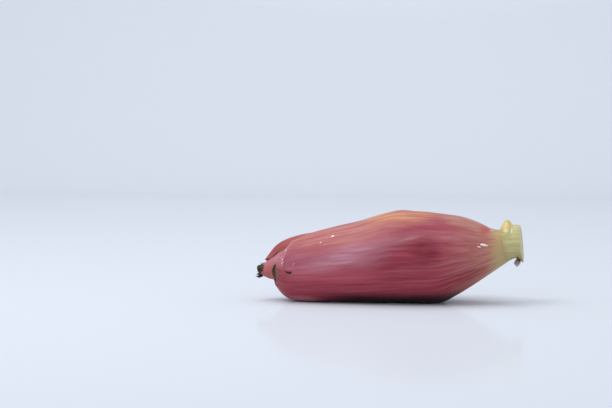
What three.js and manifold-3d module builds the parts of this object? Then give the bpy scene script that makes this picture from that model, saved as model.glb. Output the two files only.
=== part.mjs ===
// A banana blossom: the flower bud of a banana plant, cut from its stalk and lying on its belly.
//
// Frame: millimetres, +Z up. +X runs from the pointed tip towards the cut stem, -Y is the front.
// The origin lies on the resting surface, under the middle of the bud.
//
// The bud is built as it grows. Leathery bracts wrap round one another, each turned by the golden
// angle from the one outside it, with a hand of florets tucked under each older bract, a closed
// heart of young bracts in the middle and the stalk's core running in from the stem.
// Every layer is the same swept form taken to its own depth, so the layers nest without touching.
import * as THREE from "three";
import Module from "manifold-3d";

const wasm = await Module();
wasm.setup();

const RAD = Math.PI / 180;

// ---- Driving dimensions (mm, degrees) -------------------------------------------------------

const LAYER_GAP = 1.1; // free space kept between two neighbouring layers
const MARGIN_THICKNESS = 0.8; // a bract at its edge
const MARGIN_TAPER = 48; // degrees over which a bract thickens in from its edge
const MARGIN_FADE = 34; // degrees over which a layer rises again beyond an older bract's edge
const END_FADE = 300; // how fast the same happens past a bract's ends, in degrees per unit length
const CLOSING_POWER = 0.55; // how roundly a bract's sides close in at its tip
const LEAST_REACH = 1.5; // degrees a bract still reaches to each side at the very end of its tip
const PRESSED_SHARE = 0.9; // height over the floor of a layer pressed flat, as a share of its depth

// Stations of the swept forms, from the stem end to the tip end. Each is
// [crown x, crown z, keel x, keel z, half width]: the top line, the underside and the girth.
const BODY = [
  [98.2, 65.2, 105.2, 36.9, 14.6],
  [90.5, 66.4, 91, 27.0, 20.2],
  [79, 71.9, 76, 16.8, 27.4],
  [64, 77.0, 61, 7.5, 34.4],
  [46, 79.6, 45, -0.4, 39.2],
  [24, 81.4, 24, -1.4, 41.0],
  [2, 80.3, 1, -1.5, 40.8],
  [-24, 72.3, -24, -1.5, 37.6],
  [-50, 66.4, -50, -1.4, 34.4],
];
// The three oldest bracts end round the tip as an open mouth.
const MOUTH = [
  [-74, 60.5, -72, -1.2, 31.4],
  [-91, 55.2, -88, 1.2, 26.6],
  [-100.5, 49.8, -98, 10.0, 19.2],
  [-106.6, 42.8, -101.5, 18.6, 14.6],
  [-111, 36.2, -104.0, 25.0, 9.6],
];
// The younger bracts run on through the mouth as a closed cone.
const CONE = [
  [-73, 57.2, -71, 2.0, 28.4],
  [-90, 52.2, -88, 7.2, 21.6],
  [-101.5, 42.6, -100.5, 17.2, 12.0],
  [-111, 33.3, -110.6, 20.4, 6.5],
  [-118.3, 31.0, -118.3, 23.8, 3.7],
];
const OUTER_FORM = [...BODY, ...MOUTH];
const INNER_FORM = [...BODY, ...CONE];

// The stalk's core inside the bud, and the stem outside it, which flares to a lip at the cut.
const CORE_FORM = [
  [51, 44.4, 51, 37.6, 3.4],
  [62, 47.6, 62, 37.0, 5.3],
  [82, 52.6, 84, 39.6, 6.6],
  [97.2, 56.6, 103.4, 43.4, 7.2],
];
const STEM_FORM = [
  [99.0, 65.3, 106.0, 37.2, 14.5],
  [102.9, 67.0, 108.0, 38.2, 14.6],
  [107.5, 68.6, 110.6, 39.5, 14.8],
  [112.2, 69.4, 114.4, 39.6, 15.3],
  [115.6, 68.8, 118.2, 36.6, 15.3],
  [116.8, 66.6, 119.5, 37.2, 13.6],
];

// The bracts, oldest and outermost first. Angles are round the bud: 0 front, 90 top, 180 back.
// centre: the midrib's angle at the stem end and at the tip. from, to: where the bract starts and
// ends along the bud. up, down: how far each side reaches from the midrib, at even steps along
// it. blunt: how late the sides close in. hand: where the florets under it start and end along
// the bud, and their radius.
const BRACTS = [
  { name: "front_bract", form: OUTER_FORM, centre: [-8, -13], from: 0, to: 0.892, blunt: 12,
    up: [118, 108, 103, 97, 91, 105, 96, 62.5, 34],
    down: [118, 116, 112, 108, 102, 82, 66, 70, 75],
    thickness: 2.6, colour: 0x9c4a5c, hand: { from: 0.16, to: 0.41, radius: 2.1 } },
  { name: "back_bract", form: OUTER_FORM, centre: [128, 108], from: 0, to: 1.0, blunt: 14,
    up: [116, 112, 112, 112, 108, 96], down: [106, 108, 104, 90, 58, 68],
    thickness: 2.4, colour: 0xa05a55, hand: { from: 0.18, to: 0.43, radius: 2.0 } },
  { name: "belly_bract", form: OUTER_FORM, centre: [265, 268], from: 0.03, to: 0.86, blunt: 16,
    up: [100, 106, 110, 106, 92, 70], down: [100, 106, 110, 110, 104, 98],
    thickness: 2.2, colour: 0x8f4352, hand: { from: 0.2, to: 0.45, radius: 1.9 } },
  { name: "inner_bract_1", form: INNER_FORM, centre: [42, 36], from: 0.1, to: 0.985, blunt: 24,
    up: [104, 110, 112, 110, 104], down: [104, 109, 110, 106, 100],
    thickness: 1.8, colour: 0xb0656a, hand: { from: 0.25, to: 0.48, radius: 1.7 } },
  { name: "inner_bract_2", form: INNER_FORM, centre: [180, 184], from: 0.14, to: 0.955, blunt: 16,
    up: [104, 110, 112, 110, 104], down: [104, 109, 110, 106, 100],
    thickness: 1.6, colour: 0xa86868, hand: { from: 0.28, to: 0.5, radius: 1.5 } },
  { name: "inner_bract_3", form: INNER_FORM, centre: [317, 314], from: 0.18, to: 0.93, blunt: 16,
    up: [104, 110, 112, 110, 104], down: [104, 109, 110, 106, 100],
    thickness: 1.4, colour: 0xb57a74, hand: { from: 0.31, to: 0.52, radius: 1.3 } },
  { name: "young_bract_1", form: INNER_FORM, centre: [95, 95], from: 0.29, to: 0.86, blunt: 12,
    up: [100, 106, 108, 106, 96], down: [100, 106, 108, 104, 96],
    thickness: 1.2, colour: 0xc99a86 },
  { name: "young_bract_2", form: INNER_FORM, centre: [232, 232], from: 0.32, to: 0.82, blunt: 12,
    up: [100, 106, 108, 106, 96], down: [100, 106, 108, 104, 96],
    thickness: 1.1, colour: 0xd8b59a },
];

// A hand of florets lies along the form under its bract, in a space that closes in softly round
// it: slack is its free depth, halfAngle and soft are degrees, fade is a share of the bud. A
// floret's neck is a share of its radius, and rounding is how far its free end closes.
const HAND = { slack: 0.9, halfAngle: 30, soft: 34, fade: 0.13 };
const FLORET = { pitchInRadii: 2.6, sides: 6, steps: 5, neck: 0.5, rounding: 0.75 };
const CUSHION = { swell: 1.1, shift: 0.004, steps: 6, inset: 3 };

// The heart fills the space under all the layers, less its own clearance.
const HEART = { from: 0.31, to: 0.89, clearance: 1.0, rings: 20, endScale: 0.55, roundedRings: 3 };

// The low rise over the crown that every layer follows: where its top is, its half length along
// the bud, its half width in degrees and its height.
const SHOULDER = { t: 0.427, length: 0.05, angle: 97, width: 38, height: 1.3 };

// The stump of a shed bract on the stem, a low hump: where it is, its size and its height. The
// two powers set how flat it is on top, along the stem and round it.
const SCAR = { x: 104.0, angle: 80, halfLength: 4.2, halfAngle: 42, height: 6.0, powers: [2.8, 2.6] };

// Mesh fineness: rows along a bract and columns across it, steps round a closed body. Crowding
// is the share of a bract's rows that draw together towards its tip. Normals are measured
// between points that lie a small step along the form and round it.
const BRACT_ROWS = 24;
const BRACT_COLUMNS = 21;
const ROUND_STEPS = 26;
const STALK_RINGS = { core: 8, stem: 20 };
const TIP_CROWDING = 0.55;
const NORMAL_STEP = { t: 0.004, degrees: 1 };

// ---- Curves and the swept form --------------------------------------------------------------

const clamp01 = (v) => Math.min(1, Math.max(0, v));
const share = (i, count) => i / (count - 1);
const smooth = (v) => clamp01(v) ** 2 * (3 - 2 * clamp01(v));
const wrapped = (degrees) => ((((degrees + 180) % 360) + 360) % 360) - 180;

// The value at t, from 0 to 1, of a Catmull-Rom curve through evenly spaced numbers or rows.
function along(rows, t) {
  const place = clamp01(t) * (rows.length - 1);
  const i = Math.min(Math.floor(place), rows.length - 2);
  const f = place - i;
  const [a, b, c, d] = [-1, 0, 1, 2].map((k) => rows[Math.min(Math.max(i + k, 0), rows.length - 1)]);
  const mix = (p, q, r, s) =>
    q + 0.5 * f * (r - p + f * (2 * p - 5 * q + 4 * r - s + f * (3 * (q - r) + s - p)));
  return Array.isArray(b) ? b.map((_, n) => mix(a[n], b[n], c[n], d[n])) : mix(a, b, c, d);
}

// The point of a form at station t and angle degrees: an ellipse hung between crown and keel.
function formPoint(form, t, angle) {
  const [crownX, crownZ, keelX, keelZ, halfWidth] = along(form, t);
  const rise = Math.sin(angle * RAD);
  return new THREE.Vector3(
    (crownX + keelX) / 2 + (rise * (crownX - keelX)) / 2,
    -halfWidth * Math.cos(angle * RAD),
    (crownZ + keelZ) / 2 + (rise * (crownZ - keelZ)) / 2,
  );
}

// The point that lies a depth under the form, along its inward normal. The floor presses the
// outermost skin flat, and holds each deeper layer a little higher.
function skin(form, t, angle, depth) {
  const [t0, t1] = [Math.max(0, t - NORMAL_STEP.t), Math.min(1, t + NORMAL_STEP.t)];
  const lengthwise = formPoint(form, t1, angle).sub(formPoint(form, t0, angle));
  const { degrees } = NORMAL_STEP;
  const round = formPoint(form, t, angle + degrees).sub(formPoint(form, t, angle - degrees));
  const inward = lengthwise.cross(round).normalize();
  const point = formPoint(form, t, angle).addScaledVector(inward, depth);
  point.z = Math.max(point.z, PRESSED_SHARE * Math.max(depth, 0));
  return point;
}

// ---- Layers ---------------------------------------------------------------------------------

// How far, in degrees, each side of a bract reaches from its midrib at s, from 0 to 1 along it.
function reach(bract, s) {
  const closing = Math.max(0, 1 - clamp01(s) ** bract.blunt) ** CLOSING_POWER;
  const side = (list) => Math.max(LEAST_REACH, along(list, s) * closing);
  return { up: side(bract.up), down: side(bract.down) };
}

const midrib = (bract, s) => bract.centre[0] + (bract.centre[1] - bract.centre[0]) * clamp01(s);

// How far outside a bract's edge a place is, in degrees: negative inside the bract.
function outside(bract, t, angle) {
  const s = (t - bract.from) / (bract.to - bract.from);
  const off = wrapped(angle - midrib(bract, s));
  const { up, down } = reach(bract, s);
  const sideways = off > 0 ? off - up : -off - down;
  return sideways + END_FADE * (Math.max(0, s - 1) + Math.max(0, -s));
}

function thickness(bract, t, angle) {
  const inwards = smooth(-outside(bract, t, angle) / MARGIN_TAPER);
  return MARGIN_THICKNESS + (bract.thickness - MARGIN_THICKNESS) * inwards;
}

const handDepth = (hand) => 2 * hand.radius + HAND.slack;

// The extra depth that a hand of florets takes under its bract.
function handRoom(bract, t, angle) {
  if (!bract.hand) return 0;
  const { from, to } = bract.hand;
  const off = Math.abs(wrapped(angle - bract.centre[0]));
  const sideways = 1 - smooth((off - HAND.halfAngle) / HAND.soft);
  const start = smooth((t - from + HAND.fade) / HAND.fade);
  const end = 1 - smooth((t - to) / HAND.fade);
  return handDepth(bract.hand) * sideways * start * end;
}

// The depth under the form that an older bract, its hand and the gap below it take at a place.
function cover(bract, t, angle) {
  const fade = 1 - smooth(outside(bract, t, angle) / MARGIN_FADE);
  return (thickness(bract, t, angle) + LAYER_GAP) * fade + handRoom(bract, t, angle);
}

function shoulderRise(t, angle) {
  const lengthwise = (t - SHOULDER.t) / SHOULDER.length;
  const sideways = wrapped(angle - SHOULDER.angle) / SHOULDER.width;
  return SHOULDER.height * Math.exp(-(lengthwise ** 2) - sideways ** 2);
}

// The depth of a layer: all that the older bracts take, less the shoulder's rise. The cone's
// stations already lie inside the outer bracts, so their part of the depth fades out where the
// cone begins.
function depthUnder(bracts, form, t, angle) {
  const [start, end] = [BODY.length - 1, BODY.length + 1].map((k) => k / (form.length - 1));
  const shared = 1 - smooth((t - start) / (end - start));
  const weight = (bract) => (bract.form === form ? 1 : shared);
  const covered = bracts.reduce((sum, bract) => sum + weight(bract) * cover(bract, t, angle), 0);
  return covered - shoulderRise(t, angle);
}

// ---- Mesh builders --------------------------------------------------------------------------

function solid(points, faces) {
  const geometry = new THREE.BufferGeometry();
  geometry.setAttribute(
    "position",
    new THREE.Float32BufferAttribute(points.flatMap((p) => [p.x, p.y, p.z]), 3),
  );
  geometry.setIndex(faces.flat());
  geometry.computeVertexNormals();
  return geometry;
}

// A closed sheet between an outer and an inner grid of points, both rows by columns.
function thickSheet(outer, inner) {
  const [rows, columns] = [outer.length, outer[0].length];
  const points = [...outer.flat(), ...inner.flat()];
  const out = (i, j) => i * columns + j;
  const inn = (i, j) => rows * columns + i * columns + j;
  const faces = [];
  const quad = (a, b, c, d) => faces.push([a, b, c], [a, c, d]);
  for (let i = 0; i < rows - 1; i++)
    for (let j = 0; j < columns - 1; j++) {
      quad(out(i, j), out(i, j + 1), out(i + 1, j + 1), out(i + 1, j));
      quad(inn(i, j), inn(i + 1, j), inn(i + 1, j + 1), inn(i, j + 1));
    }
  for (let i = 0; i < rows - 1; i++) {
    quad(out(i, 0), out(i + 1, 0), inn(i + 1, 0), inn(i, 0));
    quad(out(i, columns - 1), inn(i, columns - 1), inn(i + 1, columns - 1), out(i + 1, columns - 1));
  }
  for (let j = 0; j < columns - 1; j++) {
    quad(out(0, j), inn(0, j), inn(0, j + 1), out(0, j + 1));
    quad(out(rows - 1, j), out(rows - 1, j + 1), inn(rows - 1, j + 1), inn(rows - 1, j));
  }
  return solid(points, faces);
}

// A closed body through rings of points that run the same way round, closed by a fan at each end.
function loft(rings) {
  const n = rings[0].length;
  const points = rings.flat();
  const faces = [];
  for (let i = 0; i < rings.length - 1; i++)
    for (let j = 0; j < n; j++) {
      const [a, b] = [i * n + j, i * n + ((j + 1) % n)];
      faces.push([a, b, b + n], [a, b + n, a + n]);
    }
  for (const [ring, start, flip] of [[rings[0], 0, true], [rings.at(-1), points.length - n, false]]) {
    const middle = ring.reduce((sum, p) => sum.add(p), new THREE.Vector3()).divideScalar(n);
    points.push(middle);
    for (let j = 0; j < n; j++) {
      const [a, b] = [start + j, start + ((j + 1) % n)];
      faces.push(flip ? [b, a, points.length - 1] : [a, b, points.length - 1]);
    }
  }
  return solid(points, faces);
}

const grid = (rows, columns, at) =>
  Array.from({ length: rows }, (_, i) =>
    Array.from({ length: columns }, (_, j) => at(share(i, rows), share(j, columns))),
  );

const plant = new THREE.Group();

function add(name, geometry, color, roughness = 0.5) {
  const material = new THREE.MeshStandardMaterial({ color, roughness, metalness: 0 });
  const mesh = new THREE.Mesh(geometry, material);
  mesh.name = name;
  plant.add(mesh);
}

// ---- Bracts ---------------------------------------------------------------------------------

const olderThan = (bract) => BRACTS.slice(0, BRACTS.indexOf(bract));

function bractGeometry(bract) {
  const older = olderThan(bract);
  const at = (side) => (along01, across01) => {
    const crowded = Math.sin((along01 * Math.PI) / 2);
    const s = (1 - TIP_CROWDING) * along01 + TIP_CROWDING * crowded;
    const t = bract.from + s * (bract.to - bract.from);
    const { up, down } = reach(bract, s);
    const angle = midrib(bract, s) - down + across01 * (up + down);
    const depth = depthUnder(older, bract.form, t, angle);
    return skin(bract.form, t, angle, depth + side * thickness(bract, t, angle));
  };
  return thickSheet(grid(BRACT_ROWS, BRACT_COLUMNS, at(0)), grid(BRACT_ROWS, BRACT_COLUMNS, at(1)));
}

for (const bract of BRACTS) add(bract.name, bractGeometry(bract), bract.colour, 0.42);

// ---- Florets --------------------------------------------------------------------------------

// A ring of points round a centre, in the plane of two directions square to each other.
const ringOf = (centre, side, up, radius) =>
  Array.from({ length: FLORET.sides }, (_, k) => {
    const turn = (2 * Math.PI * k) / FLORET.sides;
    return centre
      .clone()
      .addScaledVector(side, radius * Math.cos(turn))
      .addScaledVector(up, radius * Math.sin(turn));
  });

// A closed tube of changing radius through places in the space under a bract. Each is [t, angle].
function tubeUnder(bract, places, radii) {
  const older = olderThan(bract);
  const depthAt = (t, angle) =>
    depthUnder(older, bract.form, t, angle) +
    thickness(bract, t, angle) +
    (LAYER_GAP + handDepth(bract.hand)) / 2;
  const line = places.map(([t, angle]) => skin(bract.form, t, angle, depthAt(t, angle)));
  const rings = line.map((centre, i) => {
    const [t, angle] = places[i];
    const ahead = line[Math.min(i + 1, line.length - 1)].clone().sub(line[Math.max(i - 1, 0)]);
    const outwards = skin(bract.form, t, angle, depthAt(t, angle) - 1).sub(centre);
    const side = ahead.cross(outwards).normalize();
    return ringOf(centre, outwards.normalize(), side, radii[i]);
  });
  return loft(rings);
}

// One floret: a slim club, thinnest where it grows from the cushion.
function floret(bract, angle) {
  const { from, to, radius } = bract.hand;
  const steps = Array.from({ length: FLORET.steps + 1 }, (_, i) => i / FLORET.steps);
  const places = steps.map((u) => [from + u * (to - from), angle]);
  const { neck, rounding } = FLORET;
  const swelling = (u) => neck + (1 - neck) * smooth(2 * u);
  const radii = steps.map((u) => radius * swelling(u) * Math.sqrt(1 - rounding * u ** 6));
  return tubeUnder(bract, places, radii);
}

// The cushion that the florets of one hand share, a low bar across their thin ends.
function cushion(bract) {
  const places = Array.from({ length: CUSHION.steps + 1 }, (_, i) => {
    const angle = bract.centre[0] + ((2 * i) / CUSHION.steps - 1) * HAND.halfAngle;
    return [bract.hand.from + CUSHION.shift, angle];
  });
  return tubeUnder(bract, places, places.map(() => bract.hand.radius * CUSHION.swell));
}

// The florets' angles: as many as fit side by side under the bract, evenly spread.
function floretAngles(bract) {
  const spread = HAND.halfAngle - CUSHION.inset;
  const middle = (bract.hand.from + bract.hand.to) / 2;
  const depth = depthUnder(olderThan(bract), bract.form, middle, bract.centre[0]);
  const girth = along(bract.form, middle)[4] - depth;
  const pitch = FLORET.pitchInRadii * bract.hand.radius;
  const count = Math.round((2 * spread * RAD * girth) / pitch);
  return Array.from({ length: count }, (_, k) => bract.centre[0] + spread * (2 * share(k, count) - 1));
}

function toSolid(geometry) {
  const vertProperties = new Float32Array(geometry.getAttribute("position").array);
  const triVerts = new Uint32Array(geometry.getIndex().array);
  return new wasm.Manifold(new wasm.Mesh({ numProp: 3, vertProperties, triVerts }));
}

function fromSolid(manifold) {
  const { vertProperties, triVerts } = manifold.getMesh();
  const geometry = new THREE.BufferGeometry();
  geometry.setAttribute("position", new THREE.BufferAttribute(vertProperties, 3));
  geometry.setIndex(new THREE.BufferAttribute(triVerts, 1));
  geometry.computeVertexNormals();
  return geometry;
}

BRACTS.filter((bract) => bract.hand).forEach((bract, i) => {
  let hand = toSolid(cushion(bract));
  for (const angle of floretAngles(bract)) hand = hand.add(toSolid(floret(bract, angle)));
  add(`floret_hand_${i + 1}`, fromSolid(hand), 0xe8dcae, 0.6);
});

// ---- Heart ----------------------------------------------------------------------------------

// A ring of a form's points, one for each step round, each moved by a function of its angle.
const ringAt = (form, t, move) =>
  Array.from({ length: ROUND_STEPS }, (_, k) => {
    const angle = (360 * k) / ROUND_STEPS;
    return move(formPoint(form, t, angle), angle);
  });

// The youngest bracts, still closed on one another: one body under all the inner bud's layers.
function heartGeometry() {
  const rings = Array.from({ length: HEART.rings }, (_, i) => {
    const t = HEART.from + share(i, HEART.rings) * (HEART.to - HEART.from);
    const [crownX, crownZ, keelX, keelZ] = along(INNER_FORM, t);
    const axis = new THREE.Vector3((crownX + keelX) / 2, 0, (crownZ + keelZ) / 2);
    const scale = HEART.endScale + (1 - HEART.endScale) * Math.min(1, i / HEART.roundedRings);
    return ringAt(INNER_FORM, t, (_, angle) => {
      const depth = depthUnder(BRACTS, INNER_FORM, t, angle) + HEART.clearance;
      return skin(INNER_FORM, t, angle, depth).lerp(axis, 1 - scale);
    });
  });
  return loft(rings);
}

add("heart", heartGeometry(), 0xe9cfb4, 0.5);

// ---- Stalk ----------------------------------------------------------------------------------

// How much further out the shed bract's stump stands at a place on the stem.
function scarHeight(x, angle) {
  const lengthwise = Math.abs((x - SCAR.x) / SCAR.halfLength);
  const sideways = Math.abs(wrapped(angle - SCAR.angle) / SCAR.halfAngle);
  const [lengthPower, sidePower] = SCAR.powers;
  return SCAR.height * Math.exp(-(lengthwise ** lengthPower) - sideways ** sidePower);
}

function stalkGeometry() {
  const raised = (point, angle) => {
    const outwards = new THREE.Vector3(0, -Math.cos(angle * RAD), Math.sin(angle * RAD));
    return point.addScaledVector(outwards, scarHeight(point.x, angle));
  };
  const ringsOf = (form, count, move) =>
    Array.from({ length: count }, (_, i) => ringAt(form, share(i, count), move));
  const core = ringsOf(CORE_FORM, STALK_RINGS.core, (point) => point);
  const stem = ringsOf(STEM_FORM, STALK_RINGS.stem, raised);
  return loft([...core, ...stem].reverse());
}

add("cut_stem", stalkGeometry(), 0xc9c78c, 0.45);

export default plant;
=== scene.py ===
"""A banana blossom, the flower bud of a banana plant, cut from its stalk and lying on its belly.

+Z is up, +X runs from the pointed tip towards the cut stem, and -Y is the front. The blossom's
sizes are in mm, and the studio's and the camera's in metres.
"""
from functools import partial

import bpy
import numpy as np
from mathutils import Matrix, Vector


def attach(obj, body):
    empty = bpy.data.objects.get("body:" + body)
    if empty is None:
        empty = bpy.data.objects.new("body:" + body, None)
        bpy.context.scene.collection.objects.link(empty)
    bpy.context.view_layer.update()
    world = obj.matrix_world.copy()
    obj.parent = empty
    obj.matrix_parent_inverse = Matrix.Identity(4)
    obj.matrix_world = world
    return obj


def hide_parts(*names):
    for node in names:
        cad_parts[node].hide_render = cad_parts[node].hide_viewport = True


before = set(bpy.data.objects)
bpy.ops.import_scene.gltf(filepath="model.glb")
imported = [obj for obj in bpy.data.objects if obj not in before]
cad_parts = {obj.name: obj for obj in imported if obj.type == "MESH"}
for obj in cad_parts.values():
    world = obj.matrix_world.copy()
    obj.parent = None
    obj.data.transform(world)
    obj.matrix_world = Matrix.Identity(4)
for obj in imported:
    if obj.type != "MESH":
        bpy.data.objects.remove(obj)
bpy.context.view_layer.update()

# ---- Outer bracts ----
# Three leathery, waxy bracts wrap the bud, each turned from the last by the golden angle. They
# grow from the stalk at their thick base, and their thin margins lie free on the next bract.

MM = 0.001

# Stations from the stem end to the tip end: crown x, crown z, keel x, keel z, half width, in mm.
BODY = [
    [98.2, 65.2, 105.2, 36.9, 14.6],
    [90.5, 66.4, 91, 27.0, 20.2],
    [79, 71.9, 76, 16.8, 27.4],
    [64, 77.0, 61, 7.5, 34.4],
    [46, 79.6, 45, -0.4, 39.2],
    [24, 81.4, 24, -1.4, 41.0],
    [2, 80.3, 1, -1.5, 40.8],
    [-24, 72.3, -24, -1.5, 37.6],
    [-50, 66.4, -50, -1.4, 34.4],
]
MOUTH = [
    [-74, 60.5, -72, -1.2, 31.4],
    [-91, 55.2, -88, 1.2, 26.6],
    [-100.5, 49.8, -98, 10.0, 19.2],
    [-106.6, 42.8, -101.5, 18.6, 14.6],
    [-111, 36.2, -104.0, 25.0, 9.6],
]
CONE = [
    [-73, 57.2, -71, 2.0, 28.4],
    [-90, 52.2, -88, 7.2, 21.6],
    [-101.5, 42.6, -100.5, 17.2, 12.0],
    [-111, 33.3, -110.6, 20.4, 6.5],
    [-118.3, 31.0, -118.3, 23.8, 3.7],
]
OUTER_FORM = np.array(BODY + MOUTH)
INNER_FORM = np.array(BODY + CONE)


def smooth(v):
    """Nought to one with flat ends: 3 v squared less 2 v cubed."""
    v = np.clip(v, 0, 1)
    return v * v * (3 - 2 * v)


def wrapped(degrees):
    """The same turn as a number from -180 to 180 degrees."""
    return (degrees + 180) % 360 - 180


def along(rows, t):
    """The Catmull-Rom curve through evenly spaced rows, at t from 0 to 1: a cubic through each
    pair of rows, with half the difference of its neighbours as the slope at each row."""
    rows = np.asarray(rows, float)
    place = np.clip(t, 0, 1) * (len(rows) - 1)
    i = np.minimum(place.astype(int), len(rows) - 2)
    f = place - i
    if rows.ndim > 1:
        f = f[..., None]
    a, b, c, d = (rows[np.clip(i + k, 0, len(rows) - 1)] for k in (-1, 0, 1, 2))
    return b + 0.5 * f * (c - a + f * (2 * a - 5 * b + 4 * c - d + f * (3 * (b - c) + d - a)))


def form_point(form, t, angle):
    """The form at station t and angle: an ellipse hung between the crown and the keel."""
    crown_x, crown_z, keel_x, keel_z, half_width = np.moveaxis(along(form, t), -1, 0)
    rise, turn = np.sin(np.radians(angle)), np.cos(np.radians(angle))
    x = (crown_x + keel_x) / 2 + rise * (crown_x - keel_x) / 2
    z = (crown_z + keel_z) / 2 + rise * (crown_z - keel_z) / 2
    return np.stack([x, -half_width * turn, z], -1)


PRESSED_EDGE = 1.6
PRESSED_LIFT = 0.36
PRESSED_SHARE = 0.9
NORMAL_STEP = dict(t=0.004, degrees=1)


def skin(form, t, angle, depth):
    """The point a depth under the form, along the normal that the two surface directions cross
    to. The floor presses the outermost skin flat and holds each deeper layer a share of its
    depth higher: with h the height over that level, h becomes half the sum of itself and the root
    of its square plus a small square, which rounds the pressed edge."""
    dt, degrees = NORMAL_STEP["t"], NORMAL_STEP["degrees"]
    lengthwise = form_point(form, np.minimum(t + dt, 1), angle)
    lengthwise = lengthwise - form_point(form, np.maximum(t - dt, 0), angle)
    around = form_point(form, t, angle + degrees) - form_point(form, t, angle - degrees)
    inward = np.cross(lengthwise, around)
    inward /= np.linalg.norm(inward, axis=-1, keepdims=True)
    point = form_point(form, t, angle) + inward * np.asarray(depth)[..., None]
    level = PRESSED_SHARE * np.maximum(np.asarray(depth), 0)
    h = point[..., 2] - level
    rounded = (h + np.sqrt(h * h + PRESSED_EDGE ** 2)) / 2 - PRESSED_LIFT
    point[..., 2] = level + np.maximum(0, rounded)
    return point


CONE_REACH = dict(form=INNER_FORM, up=[104, 110, 112, 110, 104], down=[104, 109, 110, 106, 100])

# Each bract: the form it lies on, its midrib's angle at the base and tip, where it starts and
# ends along the bud, how blunt its tip is, how far in degrees it reaches up and down from the
# midrib, its thickness, and its hand of florets: where that starts and ends, and their radius.
BRACTS = [
    dict(name="front_bract", form=OUTER_FORM, centre=(-8, -13), start=0, end=0.892, blunt=12,
         up=[118, 108, 103, 97, 91, 105, 96, 62.5, 34],
         down=[118, 116, 112, 108, 102, 82, 66, 70, 75],
         thickness=2.6, hand=(0.16, 0.41, 2.1)),
    dict(name="back_bract", form=OUTER_FORM, centre=(128, 108), start=0, end=1.0, blunt=14,
         up=[116, 112, 112, 112, 108, 96], down=[106, 108, 104, 90, 58, 68],
         thickness=2.4, hand=(0.18, 0.43, 2.0)),
    dict(name="belly_bract", form=OUTER_FORM, centre=(265, 268), start=0.03, end=0.86, blunt=16,
         up=[100, 106, 110, 106, 92, 70], down=[100, 106, 110, 110, 104, 98],
         thickness=2.2, hand=(0.2, 0.45, 1.9)),
    dict(name="inner_bract_1", centre=(42, 36), start=0.1, end=0.985, blunt=24, thickness=1.8,
         hand=(0.25, 0.48, 1.7), **CONE_REACH),
    dict(name="inner_bract_2", centre=(180, 184), start=0.14, end=0.955, blunt=16, thickness=1.6,
         hand=(0.28, 0.5, 1.5), **CONE_REACH),
    dict(name="inner_bract_3", centre=(317, 314), start=0.18, end=0.93, blunt=16, thickness=1.4,
         hand=(0.31, 0.52, 1.3), **CONE_REACH),
]

# Gap, thickness and slack are in mm. Tapers, fades, angles and the least reach are in degrees
# round the bud, where END_FADE is over a whole bract's length, but a hand's fade is in t.
LAYER_GAP = 1.1
MARGIN_THICKNESS = 0.8
MARGIN_TAPER = 48
MARGIN_FADE = 34
END_FADE = 300
HAND = dict(slack=0.9, half_angle=30, soft=34, fade=0.13)
CLOSING_POWER = 0.55
LEAST_REACH = 1.5


def reach(bract, s):
    """How far, in degrees, each side reaches from the midrib at s from 0 to 1 along the bract.
    Both close towards the tip by a power of 1 less s to the bract's bluntness."""
    closing = np.maximum(0, 1 - np.clip(s, 0, 1) ** bract["blunt"]) ** CLOSING_POWER
    return [np.maximum(LEAST_REACH, along(bract[side], s) * closing) for side in ("up", "down")]


def midrib(bract, s):
    """The midrib's angle, which turns evenly from the bract's base to its tip."""
    first, last = bract["centre"]
    return first + (last - first) * np.clip(s, 0, 1)


def outside(bract, t, angle):
    """How far outside the bract's edge a place is, in degrees: negative inside the bract."""
    s = (t - bract["start"]) / (bract["end"] - bract["start"])
    off = wrapped(angle - midrib(bract, s))
    up, down = reach(bract, s)
    sideways = np.where(off > 0, off - up, -off - down)
    return sideways + END_FADE * (np.maximum(0, s - 1) + np.maximum(0, -s))


def thickness(bract, t, angle):
    """The bract's thickness, a smooth step from its thin margin up to its full middle."""
    inwards = smooth(-outside(bract, t, angle) / MARGIN_TAPER)
    return MARGIN_THICKNESS + (bract["thickness"] - MARGIN_THICKNESS) * inwards


def hand_room(bract, t, angle):
    """The extra depth that a hand of florets takes under its bract: two florets' width and some
    slack, fading out sideways and at both ends."""
    start, end, radius = bract["hand"]
    off = np.abs(wrapped(angle - bract["centre"][0]))
    sideways = 1 - smooth((off - HAND["half_angle"]) / HAND["soft"])
    near = smooth((t - start + HAND["fade"]) / HAND["fade"])
    far = 1 - smooth((t - end) / HAND["fade"])
    return (2 * radius + HAND["slack"]) * sideways * near * far


SHOULDER = dict(t=0.427, length=0.05, angle=97, width=38, height=1.3)


def shoulder(t, angle):
    """A low rise over the crown that every layer follows: a bell both along and round the bud."""
    lengthwise = (t - SHOULDER["t"]) / SHOULDER["length"]
    sideways = wrapped(angle - SHOULDER["angle"]) / SHOULDER["width"]
    return SHOULDER["height"] * np.exp(-lengthwise ** 2 - sideways ** 2)


def depth_under(bracts, form, t, angle):
    """What all the older bracts take at a place. The cone's stations already lie inside the
    outer bracts, so their part fades out where the cone begins."""
    first, last = (len(BODY) - 1) / (len(form) - 1), (len(BODY) + 1) / (len(form) - 1)
    shared = 1 - smooth((t - first) / (last - first))
    total = np.zeros(np.broadcast(t, angle).shape)
    for bract in bracts:
        fade = 1 - smooth(outside(bract, t, angle) / MARGIN_FADE)
        cover = (thickness(bract, t, angle) + LAYER_GAP) * fade + hand_room(bract, t, angle)
        total += cover * (1 if bract["form"] is form else shared)
    return total - shoulder(t, angle)


# Each set of broad waves: its height in mm, ribs round the bud, drift along it, and start.
WAVES = [(0.20, 5, 1.3, 0.4), (0.16, 9, -0.9, 2.1), (0.10, 17, 0.7, 5.0), (0.14, 3, 2.6, 1.0)]
VEIN_HEIGHT = 0.045


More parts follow.
